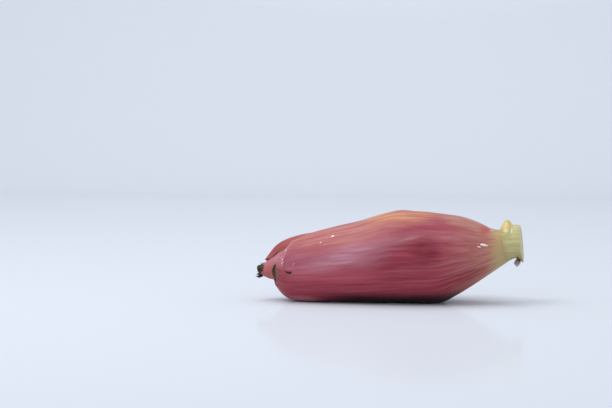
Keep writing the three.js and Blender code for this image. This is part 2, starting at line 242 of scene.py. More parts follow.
def ribbed(sets, turn, drift):
    """Ridges in mm: one sine round the bud, drifting along it, for each set, all added up."""
    return sum(height * np.sin(count * turn + slant * drift + start)
               for height, count, slant, start in sets)


def waves(t, angle):
    """The bud's broad, low waves in mm: a few long ribs, fading out at both ends."""
    ribs = ribbed(WAVES, np.radians(angle), 2 * np.pi * t)
    return ribs * np.sin(np.pi * np.clip(t, 0, 1)) ** 0.5


def veins(t, angle, seed):
    """The fine ridges of the veins in mm: three sets of sines round the bud that come and go."""
    turn, drift = np.radians(angle), 2 * np.pi * t
    sets = [(0.5, 47, 1.1, seed), (0.7, 73, -0.8, 2 * seed), (0.6, 97, 0.5, 3 * seed)]
    fine = ribbed(sets, turn, drift)
    come_and_go = 0.55 + 0.45 * np.sin(7 * turn + 3 * drift + seed) * np.sin(5 * drift - 4 * turn)
    return VEIN_HEIGHT * fine * come_and_go * (0.3 + 0.7 * smooth(t / 0.25))


BUD_LENGTH = 215


def edge_distance(bract, s, t, angle):
    """The distance in mm to the bract's nearest edge: across, by the angle left and the bud's
    radius there, or lengthwise to its tip, whichever is less."""
    crown_x, crown_z, keel_x, keel_z, half_width = np.moveaxis(along(bract["form"], t), -1, 0)
    radius = np.sqrt(half_width * (crown_z - keel_z) / 2)
    across = np.radians(-outside(bract, t, angle)) * radius
    to_tip = (1 - s) * (bract["end"] - bract["start"]) * BUD_LENGTH
    return np.maximum(0, np.minimum(across, to_tip))


# An edge stays sharp where its faces turn by more than this angle.
SHARP = np.radians(55)


def new_piece(name, points, *face_sets, **attributes):
    """A mesh object in metres from points in mm and sets of quads or triangles, with an attribute
    on each point for every named array: a number, or a vector where it has three columns."""
    mesh = bpy.data.meshes.new(name)
    mesh.from_pydata((points * MM).tolist(), [], sum((faces.tolist() for faces in face_sets), []))
    mesh.validate()
    mesh.shade_smooth()
    mesh.set_sharp_from_angle(angle=SHARP)
    for key, values in attributes.items():
        kind, field = ("FLOAT_VECTOR", "vector") if values.ndim == 2 else ("FLOAT", "value")
        layer = mesh.attributes.new(key, kind, "POINT")
        layer.data.foreach_set(field, values.astype(np.float32).ravel())
    piece = bpy.data.objects.new(name, mesh)
    bpy.context.scene.collection.objects.link(piece)
    return piece


def quads(a, b, c, d):
    """The quads whose four corners are numbered by four arrays of one shape."""
    return np.stack([a, b, c, d], -1).reshape(-1, 4)


def sheet_faces(rows, columns):
    """The quads of a closed sheet: an outer grid of points, an inner one and the rim between."""
    outer = np.arange(rows * columns).reshape(rows, columns)
    inner = outer + rows * columns

    def patch(grid):
        """The quads between the neighbouring rows and columns of one grid."""
        return quads(grid[:-1, :-1], grid[:-1, 1:], grid[1:, 1:], grid[1:, :-1])

    def band(near, far):
        """The quads between two rows of points that lie side by side."""
        return quads(near[:-1], near[1:], far[1:], far[:-1])

    return np.concatenate([
        patch(outer), patch(inner)[:, ::-1],
        band(outer[:, 0], inner[:, 0]), band(inner[:, -1], outer[:, -1]),
        band(inner[0], outer[0]), band(outer[-1], inner[-1]),
    ])


# How a margin settles, with depth and width in mm and the rest in t. Then the rim's half round,
# its least thickness and the radius that turns an angle into grain, all in mm.
SETTLING = dict(depth=0.45, width=5, start=0.02, end=0.62, soft=0.08)
RIM_RADIUS = 1.3
THIN_EDGE = 0.14
GRAIN_RADIUS = 38
TIP_CROWDING = 1.8
MARGIN_CROWDING = 0.45


def bract_grid(bract, rows, columns):
    """Where a bract's points lie on the form: s along the bract, t along the bud and the angle,
    with rows crowding at the tip and columns at both margins."""
    u = np.linspace(0, 1, rows)[:, None]
    w = np.linspace(0, 1, columns)[None, :]
    s = (1 - (1 - u) ** TIP_CROWDING) * np.ones_like(w)
    crowded = (1 - np.cos(np.pi * w)) / 2
    v = (w + MARGIN_CROWDING * (crowded - w)) * np.ones_like(u)
    t = bract["start"] + s * (bract["end"] - bract["start"])
    up, down = reach(bract, s)
    return s, t, midrib(bract, s) - down + v * (up + down)


def settling(t, edge):
    """How far a margin in mm settles onto the next bract along the bud's middle, where the
    bracts lie close: most at the edge, easing off over the settling's width."""
    middle = smooth((t - SETTLING["start"]) / SETTLING["soft"])
    middle = middle * (1 - smooth((t - SETTLING["end"]) / SETTLING["soft"]))
    return SETTLING["depth"] * middle * (1 - smooth(edge / SETTLING["width"]))


def twice(values):
    """The values of a sheet's points, once for its outer face and once for its inner face."""
    return np.tile(values.ravel(), 2)


def bract_piece(bract, rows, columns, seed, shaping=None):
    """One bract: its outer face lies under the older ones, its inner face a thickness deeper,
    and both run together in a half round at the edge. Shaping adds its own depths."""
    s, t, angle = bract_grid(bract, rows, columns)
    form = bract["form"]
    edge = edge_distance(bract, s, t, angle)
    full = thickness(bract, t, angle)
    rounded = np.sqrt(1 - (1 - np.clip(edge / RIM_RADIUS, 0, 1)) ** 2)
    thick = np.maximum(THIN_EDGE, full * rounded)
    older = BRACTS[:BRACTS.index(bract)]
    depth = depth_under(older, form, t, angle) - waves(t, angle) + settling(t, edge)
    dry = pale = np.zeros_like(depth)
    if shaping:
        sink, dry, pale = shaping(s, t, angle, edge)
        depth = depth + sink
    ridges = veins(t, angle, seed) * smooth(edge / 2)
    outer = skin(form, t, angle, depth + (full - thick) / 2 - ridges)
    inner = skin(form, t, angle, depth + (full + thick) / 2 - ridges)
    points = np.concatenate([outer.reshape(-1, 3), inner.reshape(-1, 3)])
    grain = np.stack([twice(t * BUD_LENGTH), twice(np.radians(angle) * GRAIN_RADIUS)], -1)
    grain = np.column_stack([grain, np.full(len(grain), 10.0 * seed)])
    inside = np.repeat([0.0, 1.0], depth.size)
    return new_piece(bract["name"] + "_skin", points, sheet_faces(rows, columns),
                     grain=grain, inside=inside, edge=twice(edge), dry=twice(dry),
                     pale=twice(pale))


# The front bract's own marks, placed by t along the bud and the angle, or by X and Z. Lengths
# are in mm and angles in degrees.
RIDGE = dict(t=0.772, lean=0.0009, lean_from=20, height=0.7, width=1.9, step=0.5)
CROWN_LIP = dict(height=0.65, middle=0.8, width=2.2)
TEAR = dict(t=0.752, angle=-1.0, radius=29, slope=0.22, bend=0.05, depth=0.8, lip=0.45)
DRIED_TIP = dict(x=-98.9, z=26.0, half_x=2.5, half_z=8.2, ends_at=-90, sink=0.7, rim=0.35)
NECK_BUMP = dict(t=0.111, angle=66, length=2.6, width=9, height=0.5)


def bell(value, width, power=2):
    """A bell over a value: e to the minus power of the value in widths."""
    return np.exp(-np.abs(value / width) ** power)


def front_shaping(s, t, angle, edge):
    """How the front bract differs from a plain one: depths in mm, dryness, and a painted
    highlight where the rolled edge catches the light. A rolled upper edge by the mouth, a lip
    over the crown, a dead spot with a raised lip, a dried, curled tip and a bump on the neck,
    each a bell or a smooth step."""
    front = BRACTS[0]
    upper = smooth((wrapped(angle - midrib(front, s)) + 6) / 16)
    leaning = RIDGE["lean"] * np.maximum(0, angle - RIDGE["lean_from"])
    past_ridge = (t - RIDGE["t"] + leaning) * BUD_LENGTH
    by_mouth = smooth((angle - 2) / 14) * (1 - smooth((angle - 62) / 16)) * (t > 0.6)
    rolled = RIDGE["step"] * smooth(past_ridge / 3)
    rolled = rolled - RIDGE["height"] * bell(past_ridge, RIDGE["width"])
    over_crown = smooth((s - 0.3) / 0.1) * (1 - smooth((s - 0.52) / 0.14)) * upper
    lip = -CROWN_LIP["height"] * bell(edge - CROWN_LIP["middle"], CROWN_LIP["width"])
    lengthwise = (t - TEAR["t"]) * BUD_LENGTH
    crosswise = np.radians(angle - TEAR["angle"]) * TEAR["radius"]
    bent = crosswise - TEAR["slope"] * lengthwise - TEAR["bend"] * lengthwise ** 2
    tear = bell(lengthwise, 4.0, 4) * bell(bent, 0.9)
    tear = tear + bell(lengthwise + 2.2, 1.6) * bell(bent + 0.5, 1.2)
    tear_lip = bell(lengthwise, 5.0, 4) * bell(bent - 2.4, 1.2)
    x, _, z = np.moveaxis(form_point(front["form"], t, angle), -1, 0)
    lens = np.hypot((x - DRIED_TIP["x"]) / DRIED_TIP["half_x"],
                    (z - DRIED_TIP["z"]) / DRIED_TIP["half_z"]) + 9 * (x > DRIED_TIP["ends_at"])
    dried_tip = 1 - smooth((lens - 0.85) / 0.3)
    curl = DRIED_TIP["sink"] * dried_tip - DRIED_TIP["rim"] * bell(lens - 1.35, 0.25)
    crumple = 0.2 * np.sin(angle * 0.5 + 3 * s) * np.sin(angle * 0.21) * dried_tip
    bump = NECK_BUMP["height"] * bell((t - NECK_BUMP["t"]) * BUD_LENGTH, NECK_BUMP["length"])
    bump = bump * bell(angle - NECK_BUMP["angle"], NECK_BUMP["width"])
    sink = rolled * by_mouth + lip * over_crown + TEAR["depth"] * tear - TEAR["lip"] * tear_lip
    # A painted highlight, in beads, along the rolled edge by the mouth where it faces the light.
    beads = 0.75 + 0.25 * np.sin(0.5 * angle) * np.sin(0.23 * angle + 1)
    pale = smooth((past_ridge + 1.5) / 2) * by_mouth * beads
    return sink + curl + crumple - bump, np.maximum(tear, dried_tip), pale


TUCK = dict(depth=3.3, start=0.74, full=0.82, ease=0.93, end=0.99, width=22, fading=0.8)


def back_shaping(s, t, angle, edge):
    """The back bract's lower edge tucks in against the cone beside the mouth: a depth that comes
    and goes along the edge by smooth steps, and fades away from it."""
    lower = 1 - smooth((wrapped(angle - midrib(BRACTS[1], s)) + 60) / 60)
    coming = smooth((t - TUCK["start"]) / (TUCK["full"] - TUCK["start"]))
    going = 1 - smooth((t - TUCK["ease"]) / (TUCK["end"] - TUCK["ease"]))
    near_edge = 1 - TUCK["fading"] * smooth(edge / TUCK["width"])
    plain = np.zeros_like(edge)
    return TUCK["depth"] * coming * going * lower * near_edge, plain, plain


DRIED_LINE = dict(x=-114.2, z=24, slope=0.36, width=1.2)


def cone_shaping(s, t, angle, edge):
    """An inner bract's dried end: everything beyond a slanting line across the cone's tip, with
    a crumple of two sines."""
    x, _, z = np.moveaxis(form_point(INNER_FORM, t, angle), -1, 0)
    line = DRIED_LINE["x"] + DRIED_LINE["slope"] * (z - DRIED_LINE["z"])
    dried = smooth((line - x) / DRIED_LINE["width"])
    crumple = 0.25 * np.sin(angle * 0.55) * np.sin(angle * 0.23 + 1) * dried
    return crumple, dried, np.zeros_like(edge)


# Each bract's shaping, and the rows and columns of its grid. Its place sets its veins apart.
SHAPINGS = [front_shaping, back_shaping, None, cone_shaping, cone_shaping, cone_shaping]
FINENESS = [(165, 270), (130, 230), (110, 210), (120, 200), (70, 100), (70, 100)]
pieces = {}
for k, (bract, shaping, (rows, columns)) in enumerate(zip(BRACTS, SHAPINGS, FINENESS)):
    pieces[bract["name"]] = bract_piece(bract, rows, columns, k + 1, shaping)


def node(tree, kind, sockets=None, **settings):
    """A shader node with its settings, and with its sockets set to a value or linked to."""
    made = tree.nodes.new("ShaderNode" + kind)
    for key, value in settings.items():
        setattr(made, key, value)
    for key, value in (sockets or {}).items():
        if isinstance(value, bpy.types.NodeSocket):
            tree.links.new(value, made.inputs[key])
        else:
            made.inputs[key].default_value = value
    return made


def ramp(value, low, high, start=0.0, end=1.0):
    """A smooth step from start to end while the value goes from low to high. Here and below,
    the node goes into the tree that its first socket belongs to."""
    sockets = {0: value, 1: low, 2: high, 3: start, 4: end}
    return node(value.id_data, "MapRange", sockets, interpolation_type="SMOOTHSTEP").outputs[0]


def maths(operation, a, b=0.0):
    """The named operation on a socket and a number or another socket."""
    return node(a.id_data, "Math", {0: a, 1: b}, operation=operation).outputs[0]


# The sum a + b, the difference a - b and the product a b.
plus, minus, times = (partial(maths, operation) for operation in ("ADD", "SUBTRACT", "MULTIPLY"))


def blend(mask, under, over):
    """The colour over laid on the colour under where the mask is 1."""
    under, over = (colour if isinstance(colour, bpy.types.NodeSocket) else (*colour, 1)
                   for colour in (under, over))
    sockets = {0: mask, 6: under, 7: over}
    return node(mask.id_data, "Mix", sockets, data_type="RGBA").outputs[2]


def coated(colour, *coats):
    """A colour under several coats, each a mask and the coat's own colour."""
    for mask, over in coats:
        colour = blend(mask, colour, over)
    return colour


def noise(vector, stretch, detail=2.0, roughness=0.5):
    """Noise with a grain of the stretch's three lengths, in the vector's units."""
    tree = vector.id_data
    scale = tuple(1 / length for length in stretch)
    scaled = node(tree, "VectorMath", {0: vector, 1: scale}, operation="MULTIPLY").outputs[0]
    sockets = {"Vector": scaled, "Scale": 1.0, "Detail": detail, "Roughness": roughness}
    return node(tree, "TexNoise", sockets).outputs[0]


def new_group(name, inputs, outputs):
    """An empty node group with named sockets; gives the group, its inputs and its outputs."""
    group = bpy.data.node_groups.new(name, "ShaderNodeTree")
    for direction, sockets in (("INPUT", inputs), ("OUTPUT", outputs)):
        for label, kind in sockets.items():
            group.interface.new_socket(label, in_out=direction, socket_type="NodeSocket" + kind)
    given = group.nodes.new("NodeGroupInput").outputs
    return group, given, group.nodes.new("NodeGroupOutput").inputs


# Leaf veins: fine and coarse streaks along the grain, whose vector is in mm. Slow noise bends
# them a little, and they fade in and out, so no streak runs the whole way.
VEIN_BEND = 4.5

veined, given, result = new_group(
    "leaf veins", {"Grain": "Vector"}, {"Height": "Float", "Tone": "Float", "Broad": "Float"})
drift = times(minus(noise(given["Grain"], (60, 14, 1), 1), 0.5), VEIN_BEND)
drift = node(veined, "CombineXYZ", {1: drift}).outputs[0]
bent = node(veined, "VectorMath", {0: given["Grain"], 1: drift}, operation="ADD").outputs[0]
fine = noise(bent, (20, 0.6, 1), 3)
coarse = noise(bent, (34, 2.1, 1), 3)
broad = noise(bent, (52, 8, 1), 2)
fading = noise(bent, (24, 8, 1), 2)
fine = times(fine, 0.4)
tone = minus(plus(fine, times(coarse, 0.6)), 0.5)
tone = times(tone, ramp(fading, 0.36, 0.64, 0.35, 1.3))
veined.links.new(plus(fine, coarse), result["Height"])
veined.links.new(ramp(tone, -0.14, 0.14), result["Tone"])
veined.links.new(ramp(broad, 0.34, 0.66), result["Broad"])

# Wax bloom: a pale film that has been rubbed off in patches and scratched along the grain.
bloomed, given, result = new_group(
    "wax bloom", {"Grain": "Vector", "Cover": "Float"}, {"Mask": "Float"})
patches = noise(given["Grain"], (26, 11, 1), 3, 0.6)
scratched = noise(given["Grain"], (16, 1.1, 1), 3, 0.6)
film = plus(times(patches, 0.55), times(scratched, 0.45))
film = times(ramp(film, 0.38, 0.66), given["Cover"])
bloomed.links.new(film, result["Mask"])


def use_group(group, **sockets):
    """The outputs of a group placed in the sockets' tree, with its input names in lower case."""
    tree = sockets["grain"].id_data
    placed = tree.nodes.new("ShaderNodeGroup")
    placed.node_tree = group
    for key, value in sockets.items():
        tree.links.new(value, placed.inputs[key.capitalize()])
    return placed.outputs


def new_material(name):
    """A material with its tree, its Principled shader, and the object's X, Y and Z in mm."""
    material = bpy.data.materials.new(name)
    material.use_nodes = True
    tree = material.node_tree
    place = node(tree, "TexCoord").outputs["Object"]
    place = node(tree, "VectorMath", {0: place, 1: [1 / MM] * 3}, operation="MULTIPLY").outputs[0]
    x, y, z = node(tree, "SeparateXYZ", {0: place}).outputs
    return material, tree, tree.nodes["Principled BSDF"], place, (x, y, z)


def finish(shader, colour, roughness, relief=None, **constants):
    """Links a colour and a roughness to the shader, and a bump made of a height, a strength and
    a depth in mm. Constants are set on the shader's sockets. Soft is how far light goes into
    the piece, with its radii in metres."""
    tree = shader.id_data
    tree.links.new(colour, shader.inputs["Base Color"])
    tree.links.new(roughness, shader.inputs["Roughness"])
    if relief:
        height, strength, depth = relief
        sockets = {"Height": height, "Strength": strength, "Distance": depth * MM}
        tree.links.new(node(tree, "Bump", sockets).outputs[0], shader.inputs["Normal"])
    names = dict(soft="Subsurface Weight", radii="Subsurface Radius", clear="Transmission Weight",
                 ior="IOR", specular="Specular IOR Level")
    for key, value in constants.items():
        shader.inputs[names[key]].default_value = value


def attribute(tree, name, output="Fac"):
    """The piece's own attribute of that name."""
    return node(tree, "Attribute", attribute_name=name).outputs[output]


def spot(across, up, centre, size, softness=0.5, strength=1.0):
    """A soft oval: its strength inside, 0 where the distance in sizes passes 1 plus softness."""
    parts = [maths("DIVIDE", minus(value, middle), half)
             for value, middle, half in zip((across, up), centre, size)]
    away = maths("SQRT", plus(*[times(part, part) for part in parts]))
    return ramp(away, 1 - softness, 1 + softness, strength, 0.0)


STALK_TAN, NECK_TAN = (0.47, 0.35, 0.15), (0.50, 0.23, 0.15)
WAX_FILM, DEEP_SHADE, FOLD_HIGHLIGHT = (0.52, 0.28, 0.33), (0.012, 0.002, 0.004), (0.55, 0.21, 0.25)
TIP_BROWN, DRIED_DARK = (0.20, 0.085, 0.035), (0.014, 0.007, 0.005)
DRIED_BROWN, PAPERY = (0.10, 0.045, 0.022), (0.20, 0.135, 0.085)
# Where the skin changes, from one place to another in mm: along X at the neck, where it turns
# tan, at the stem, the mouth and the tip, and up Z at the tip and in the bloom.
NECK_X, TAN_X, STEM_X = (40, 92), (74, 100), (87.5, 98.5)
MOUTH_X, TIP_X, TIP_Z, BLOOM_Z = (-78, -66), (-94, -84), (20, 30), (16, 40)
# The painted shade near the table: its height, where it starts along X, and where it drops, and
# by how much. Then the edge's width, and where the dried tip's papery curl starts and ends.
SHADE_Z, SHADE_X, SHADE_DROP_X, SHADE_DROP = (3.5, 14), (-80, -22), (15, 40), 1.2
EDGE_WIDTH, CURL_START, CURL_END = (0.3, 2.4), (-99.2, -97.2), (-90, -88)


def bract_material(name, body, deep, neck, margin, mouth, lining, zones=(), bloom=0.12):
    """Bract skin: streaked in two reds, tan at the neck and green where it joins the stem, with
    soft oval zones of other colours, some of them painted sheen and highlights, under a worn wax
    bloom, and painted shade low down by the table. A painted highlight runs along the rolled
    edge.
    Its margin is thin, of another colour round the mouth, and dry places are dark. A zone is a
    colour, a strength, a centre and half sizes in X and Z in mm, and a slope: how fast it climbs
    towards the stem."""
    material, tree, shader, place, (x, y, z) = new_material(name)
    grain = attribute(tree, "grain", "Vector")
    height, tone, broad = use_group(veined, grain=grain)
    off_tone = minus(tone, 0.5)
    streaked = plus(x, times(off_tone, 26))
    skin_colour = coated(
        blend(tone, deep, body),
        (times(broad, 0.3), deep),
        (ramp(streaked, *NECK_X, 0.0, 0.9), neck),
        (ramp(streaked, *TAN_X, 0.0, 0.8), NECK_TAN))

    patchy = ramp(noise(grain, (26, 3.0, 1), 2), 0.40, 0.60, 0.5, 1.15)
    for colour, strength, centre, size, slope in zones:
        level = minus(z, times(x, slope))
        mask = spot(x, level, (centre[0], centre[1] - slope * centre[0]), size, 0.6)
        mask = times(mask, ramp(tone, 0, 1, strength, 0.6 * strength))
        mask = maths("MINIMUM", times(mask, patchy), 1.0)
        skin_colour = blend(mask, skin_colour, colour)

    by_stem = ramp(plus(x, times(off_tone, 9)), *STEM_X)
    film = use_group(bloomed, grain=grain, cover=times(ramp(z, *BLOOM_Z), bloom))["Mask"]
    # Painted shade: low down by the table the skin is painted near black, fading out towards the
    # mouth.
    low = minus(plus(z, tone), ramp(x, *SHADE_DROP_X, 0.0, SHADE_DROP))
    shaded = times(ramp(low, *SHADE_Z, 0.97, 0.0), ramp(x, *SHADE_X))
    by_mouth = ramp(x, *MOUTH_X, 1.0, 0.0)
    by_tip = times(ramp(x, *TIP_X, 1.0, 0.0), ramp(z, *TIP_Z, 1.0, 0.0))
    margin_colour = coated(margin, (by_mouth, mouth), (by_tip, TIP_BROWN))
    flecks = noise(place, (1.6, 1.6, 1.6), 3)
    ragged = times(minus(flecks, 0.5), 0.5)
    dry = ramp(plus(attribute(tree, "dry"), ragged), 0.3, 0.7)
    curled = times(ramp(x, *CURL_START), ramp(x, *CURL_END, 0.8, 0.0))
    dry_colour = coated(DRIED_DARK, (ramp(flecks, 0.4, 0.65), DRIED_BROWN), (curled, PAPERY))
    skin_colour = coated(
        skin_colour,
        (by_stem, STALK_TAN),
        (film, WAX_FILM),
        (shaded, DEEP_SHADE),
        # painted highlight along the front bract's rolled edge
        (times(attribute(tree, "pale"), 0.8), FOLD_HIGHLIGHT),
        (ramp(attribute(tree, "edge"), *EDGE_WIDTH, 0.85, 0.0), margin_colour),
        (dry, dry_colour),
        (times(attribute(tree, "inside"), 0.9), lining))
    matt = plus(ramp(tone, 0.0, 1.0, 0.34, 0.46), times(film, 0.16))
    finish(shader, skin_colour, plus(matt, times(dry, 0.3)), (height, 0.4, 0.3),
           specular=0.22, soft=0.04, radii=(0.004, 0.0015, 0.001))
    return material


TAN_PINK, SHEEN_MAUVE, CRIMSON = (0.51, 0.185, 0.145), (0.50, 0.225, 0.28), (0.24, 0.016, 0.032)
SUNNED_EDGE, BLOOD_RED = (0.64, 0.30, 0.11), (0.19, 0.010, 0.022)
BRACT_SKINS = {
    "front_bract": dict(
        body=(0.410, 0.076, 0.108), deep=(0.275, 0.024, 0.046), neck=(0.42, 0.150, 0.115),
        margin=(0.64, 0.32, 0.12), mouth=(0.52, 0.20, 0.21), lining=(0.55, 0.16, 0.18),
        zones=[
            (TAN_PINK, 0.92, (-48, 64), (55, 14), 0.16),
            # Painted sheen: the mauve zones lie along a band of soft light from above that climbs
            # across the middle towards the stem, over the mauve of the wax bloom.
            (SHEEN_MAUVE, 1.0, (-31, 43), (44, 8.8), 0.28),
            (SHEEN_MAUVE, 0.6, (-12, 42.5), (14, 9.5), 0.10),
            (SHEEN_MAUVE, 0.6, (-58, 35.5), (13, 4.5), 0.10),
            ((0.33, 0.070, 0.105), 0.7, (-79, 43), (11, 6.2), 0.0),
            # Two thin painted highlights along the grain, where the light catches the veins.
            ((0.64, 0.40, 0.43), 0.6, (22, 59), (11, 1.3), 0.22),
            ((0.62, 0.36, 0.42), 0.6, (-18, 49), (13, 1.2), 0.20),
            (SHEEN_MAUVE, 0.30, (-74, 36), (18, 8), 0.10),
            ((0.50, 0.22, 0.25), 0.55, (3, 54.5), (17, 4.2), 0.15),
            # A painted sheen high up towards the neck.
            ((0.53, 0.21, 0.21), 0.6, (49, 61.2), (27, 4.2), 0.0),
            ((0.47, 0.090, 0.125), 0.6, (-48, 26.5), (36, 7.5), 0.0),
            ((0.47, 0.26, 0.17), 0.75, (67, 73.5), (19, 5), -0.25),
            (CRIMSON, 0.85, (16, 44), (34, 16), 0.10),
            (BLOOD_RED, 0.9, (36, 49), (11, 13), 0.0),
            (SUNNED_EDGE, 0.95, (4, 81), (36, 9.2), 0.0),
            (CRIMSON, 0.9, (66, 25.2), (24, 4.6), 0.30),
            ((0.45, 0.06, 0.05), 0.9, (85.8, 66.1), (4, 3.5), 0.0),
            # The paler lower margin by the table, brightened with painted light.
            ((0.62, 0.29, 0.33), 0.8, (-74, 2), (15, 3.4), 0.0),
            ((0.34, 0.15, 0.09), 0.7, (60, 9), (12, 3), 0.45),
            ((0.23, 0.050, 0.048), 0.7, (-92.5, 23.5), (4, 8), 0.0),
            ((0.48, 0.17, 0.08), 0.9, (-99.5, 33.5), (1.5, 3), 0.0),
            ((0.17, 0.060, 0.028), 0.9, (-99.2, 16.5), (1.8, 3.5), 0.0),
        ]),
    "back_bract": dict(
        body=(0.40, 0.078, 0.064), deep=(0.29, 0.038, 0.032), neck=(0.42, 0.18, 0.12),
        margin=(0.40, 0.16, 0.09), mouth=(0.36, 0.11, 0.075), lining=(0.55, 0.16, 0.18),
        # Painted sheen in the mauve zone, as on the front bract.
        zones=[(SHEEN_MAUVE, 0.5, (-30, 45), (50, 12), 0.2),
               (CRIMSON, 0.6, (30, 40), (40, 20), 0.1)]),
    "belly_bract": dict(
        body=(0.40, 0.10, 0.12), deep=(0.28, 0.040, 0.060), neck=(0.42, 0.20, 0.14),
        margin=(0.45, 0.18, 0.10), mouth=(0.40, 0.15, 0.12), lining=(0.55, 0.16, 0.18)),
}
for name, look in BRACT_SKINS.items():
    pieces[name].data.materials.append(bract_material(name.replace("_", " "), **look))
    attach(pieces[name], "root")
    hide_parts(name)

# ---- Inner bracts ----
# Three younger bracts close on one another as a cone in the mouth. They are thinner, smoother
# and pinker, since they have had little light, and the first one's tip is dried and frayed.

CONE_SKIN = dict(
    body=(0.52, 0.17, 0.165), deep=(0.42, 0.10, 0.10), neck=(0.50, 0.25, 0.18),
    margin=(0.42, 0.16, 0.11), mouth=(0.42, 0.16, 0.11), lining=(0.60, 0.28, 0.26), bloom=0.2,
    # The cone's top is lilac with a painted highlight where it faces the light, and its underside
    # is browner, with painted shade.
    zones=[((0.55, 0.22, 0.29), 1.0, (-103, 42), (10, 7), 0.5),
           ((0.40, 0.10, 0.08), 0.6, (-106, 26), (8, 4), 0.3)])

for name in ("inner_bract_1", "inner_bract_2", "inner_bract_3"):
    pieces[name].data.materials.append(bract_material(name.replace("_", " "), **CONE_SKIN))
    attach(pieces[name], "root")
    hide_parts(name)

# ---- Young bracts and heart ----
# The youngest bracts have never seen light. They are thin, crisp and cream, flushed with rose
# towards the tip, and the last of them are still closed on one another as the heart.

STREAK_SHADE = (0.40, 0.17, 0.13)


def tender_material(name, cream, rose, cell, roughness):
    """Pale young tissue: fine streaks along X, cream turning to rose towards the tip and in
    patches, glossy with sap where the streaks are pale. The cell is a streak's width in mm."""
    material, tree, shader, place, (x, y, z) = new_material(name)
    streaks = noise(place, (30 * cell, cell, cell), 3)
    patches = noise(place, (20, 6, 6), 2)
    flush = ramp(plus(x, times(patches, 60)), -60, 60, 0.85, 0.1)
    dark = ramp(streaks, 0.38, 0.62, 0.35, 0.0)
    colour = coated(cream, (flush, rose), (dark, STREAK_SHADE))
    finish(shader, colour, ramp(streaks, 0.3, 0.7, roughness + 0.1, roughness),
           (streaks, 0.3, 0.3), soft=0.1, radii=(0.004, 0.002, 0.0015))
    return material


def dress(name, material):
    """Gives every slot of a node that keeps its own shape the same material."""
    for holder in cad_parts[name].material_slots:
        holder.material = material


young = tender_material("young bract", (0.66, 0.45, 0.30), (0.56, 0.20, 0.17), 1.0, 0.34)
for name in ("young_bract_1", "young_bract_2"):
    dress(name, young)
dress("heart", tender_material("heart", (0.72, 0.55, 0.36), (0.62, 0.30, 0.22), 1.4, 0.38))

# ---- Floret hands ----
# Under each older bract lies a hand of slim cream florets, yellow at their free tips and brown
# in specks where they rub. They grow together at a cushion on the stalk.

FLORET_CREAM, FLORET_SHADE = (0.78, 0.70, 0.44), (0.60, 0.47, 0.22)
FLORET_TIP, FLORET_SPECK = (0.70, 0.46, 0.11), (0.22, 0.10, 0.04)

material, tree, shader, place, (x, y, z) = new_material("floret")
streaks = noise(place, (12, 0.6, 0.6), 3)
specks = noise(place, (1.2, 0.9, 0.9), 3)
tips = plus(x, times(specks, 20))
colour = coated(
    FLORET_SHADE,
    (ramp(streaks, 0.38, 0.62), FLORET_CREAM),
    (ramp(tips, -4, 30, 0.6, 0.0), FLORET_TIP),
    (ramp(specks, 0.62, 0.72, 0.0, 0.6), FLORET_SPECK))
finish(shader, colour, ramp(streaks, 0.3, 0.7, 0.55, 0.40), (streaks, 0.3, 0.2),
       soft=0.1, radii=(0.003, 0.002, 0.001))
for k in range(1, 7):
    dress(f"floret_hand_{k}", material)

# ---- Frayed fibres ----
# Where the inner bracts' tips dried up they split into stiff dark fibres, which stick out of the
# cone's end. They are the bracts' own veins, dark brown to olive, and still grow from the tips.


def tube_faces(rows, columns):
    """The quads between closed rings, and the fans to two poles that follow them."""
    ring = np.arange(rows * columns).reshape(rows, columns)
    after = np.roll(ring, -1, axis=1)
    sides = quads(ring[:-1], ring[1:], after[1:], after[:-1])
    first, last = rows * columns, rows * columns + 1
    start = np.stack([np.full(columns, first), ring[0], after[0]], -1)
    end = np.stack([np.full(columns, last), after[-1], ring[-1]], -1)
    return sides, np.concatenate([start, end])


def joined(parts):
    """One list of points, quads and triangles from many closed shapes of rings and two poles."""
    points, sides, fans, total = [], [], [], 0
    for rings, start, end in parts:
        rows, columns = rings.shape[:2]
        quad, fan = tube_faces(rows, columns)
        points += [rings.reshape(-1, 3), [start], [end]]
        sides.append(quad + total)
        fans.append(fan + total)
        total += rows * columns + 2
    return np.vstack(points), np.concatenate(sides), np.concatenate(fans)


rng = np.random.default_rng(7)
FIBRE_COUNT = 120
FIBRE_RINGS, FIBRE_COLUMNS = 6, 6


def strand(start, direction, length, radius, sag):
    """A thin closed spike from a start along a direction: it tapers and sags towards its tip."""
    u = np.linspace(0, 1, FIBRE_RINGS)[:, None]
    a = np.linspace(0, 2 * np.pi, FIBRE_COLUMNS, endpoint=False)[None, :]
    direction = direction / np.linalg.norm(direction)
    side = np.cross(direction, [0, 0, 1.0])
    side /= np.linalg.norm(side)
    above = np.cross(side, direction)
    centre = start + direction * length * u + np.array([0, 0, -1.0]) * sag * u ** 2
    wide = radius * (1 - 0.75 * u ** 2)
    ring = centre[:, None, :] + wide[..., None] * (np.cos(a)[..., None] * side
                                                   + 0.6 * np.sin(a)[..., None] * above)
    return ring, centre[0], centre[-1] + direction * 0.2


def spikes():
    """The fibres round the cone's open end, from below it round the front to the top. Each has
    its own place, lean, length, radius and sag, and a tint that is the same all over it."""
    parts, tints = [], []
    for _ in range(FIBRE_COUNT):
        angle = rng.uniform(-100, 110)
        t = 0.915 + 0.026 * (1 - angle / 100) / 2 + rng.uniform(-0.004, 0.016)
        depth = rng.uniform(-0.1, 2.6)
        start = skin(INNER_FORM, np.array([t]), np.array([angle]), np.array([depth]))[0]
        direction = np.array([-1.0, rng.normal(0, 0.18), rng.normal(-0.16, 0.22)])
        parts.append(strand(start, direction, rng.uniform(3.0, 6.0), rng.uniform(0.3, 0.65),
                            rng.uniform(0, 1.2)))
        tints.append(np.full(FIBRE_RINGS * FIBRE_COLUMNS + 2, rng.random()))
    return joined(parts), np.concatenate(tints)


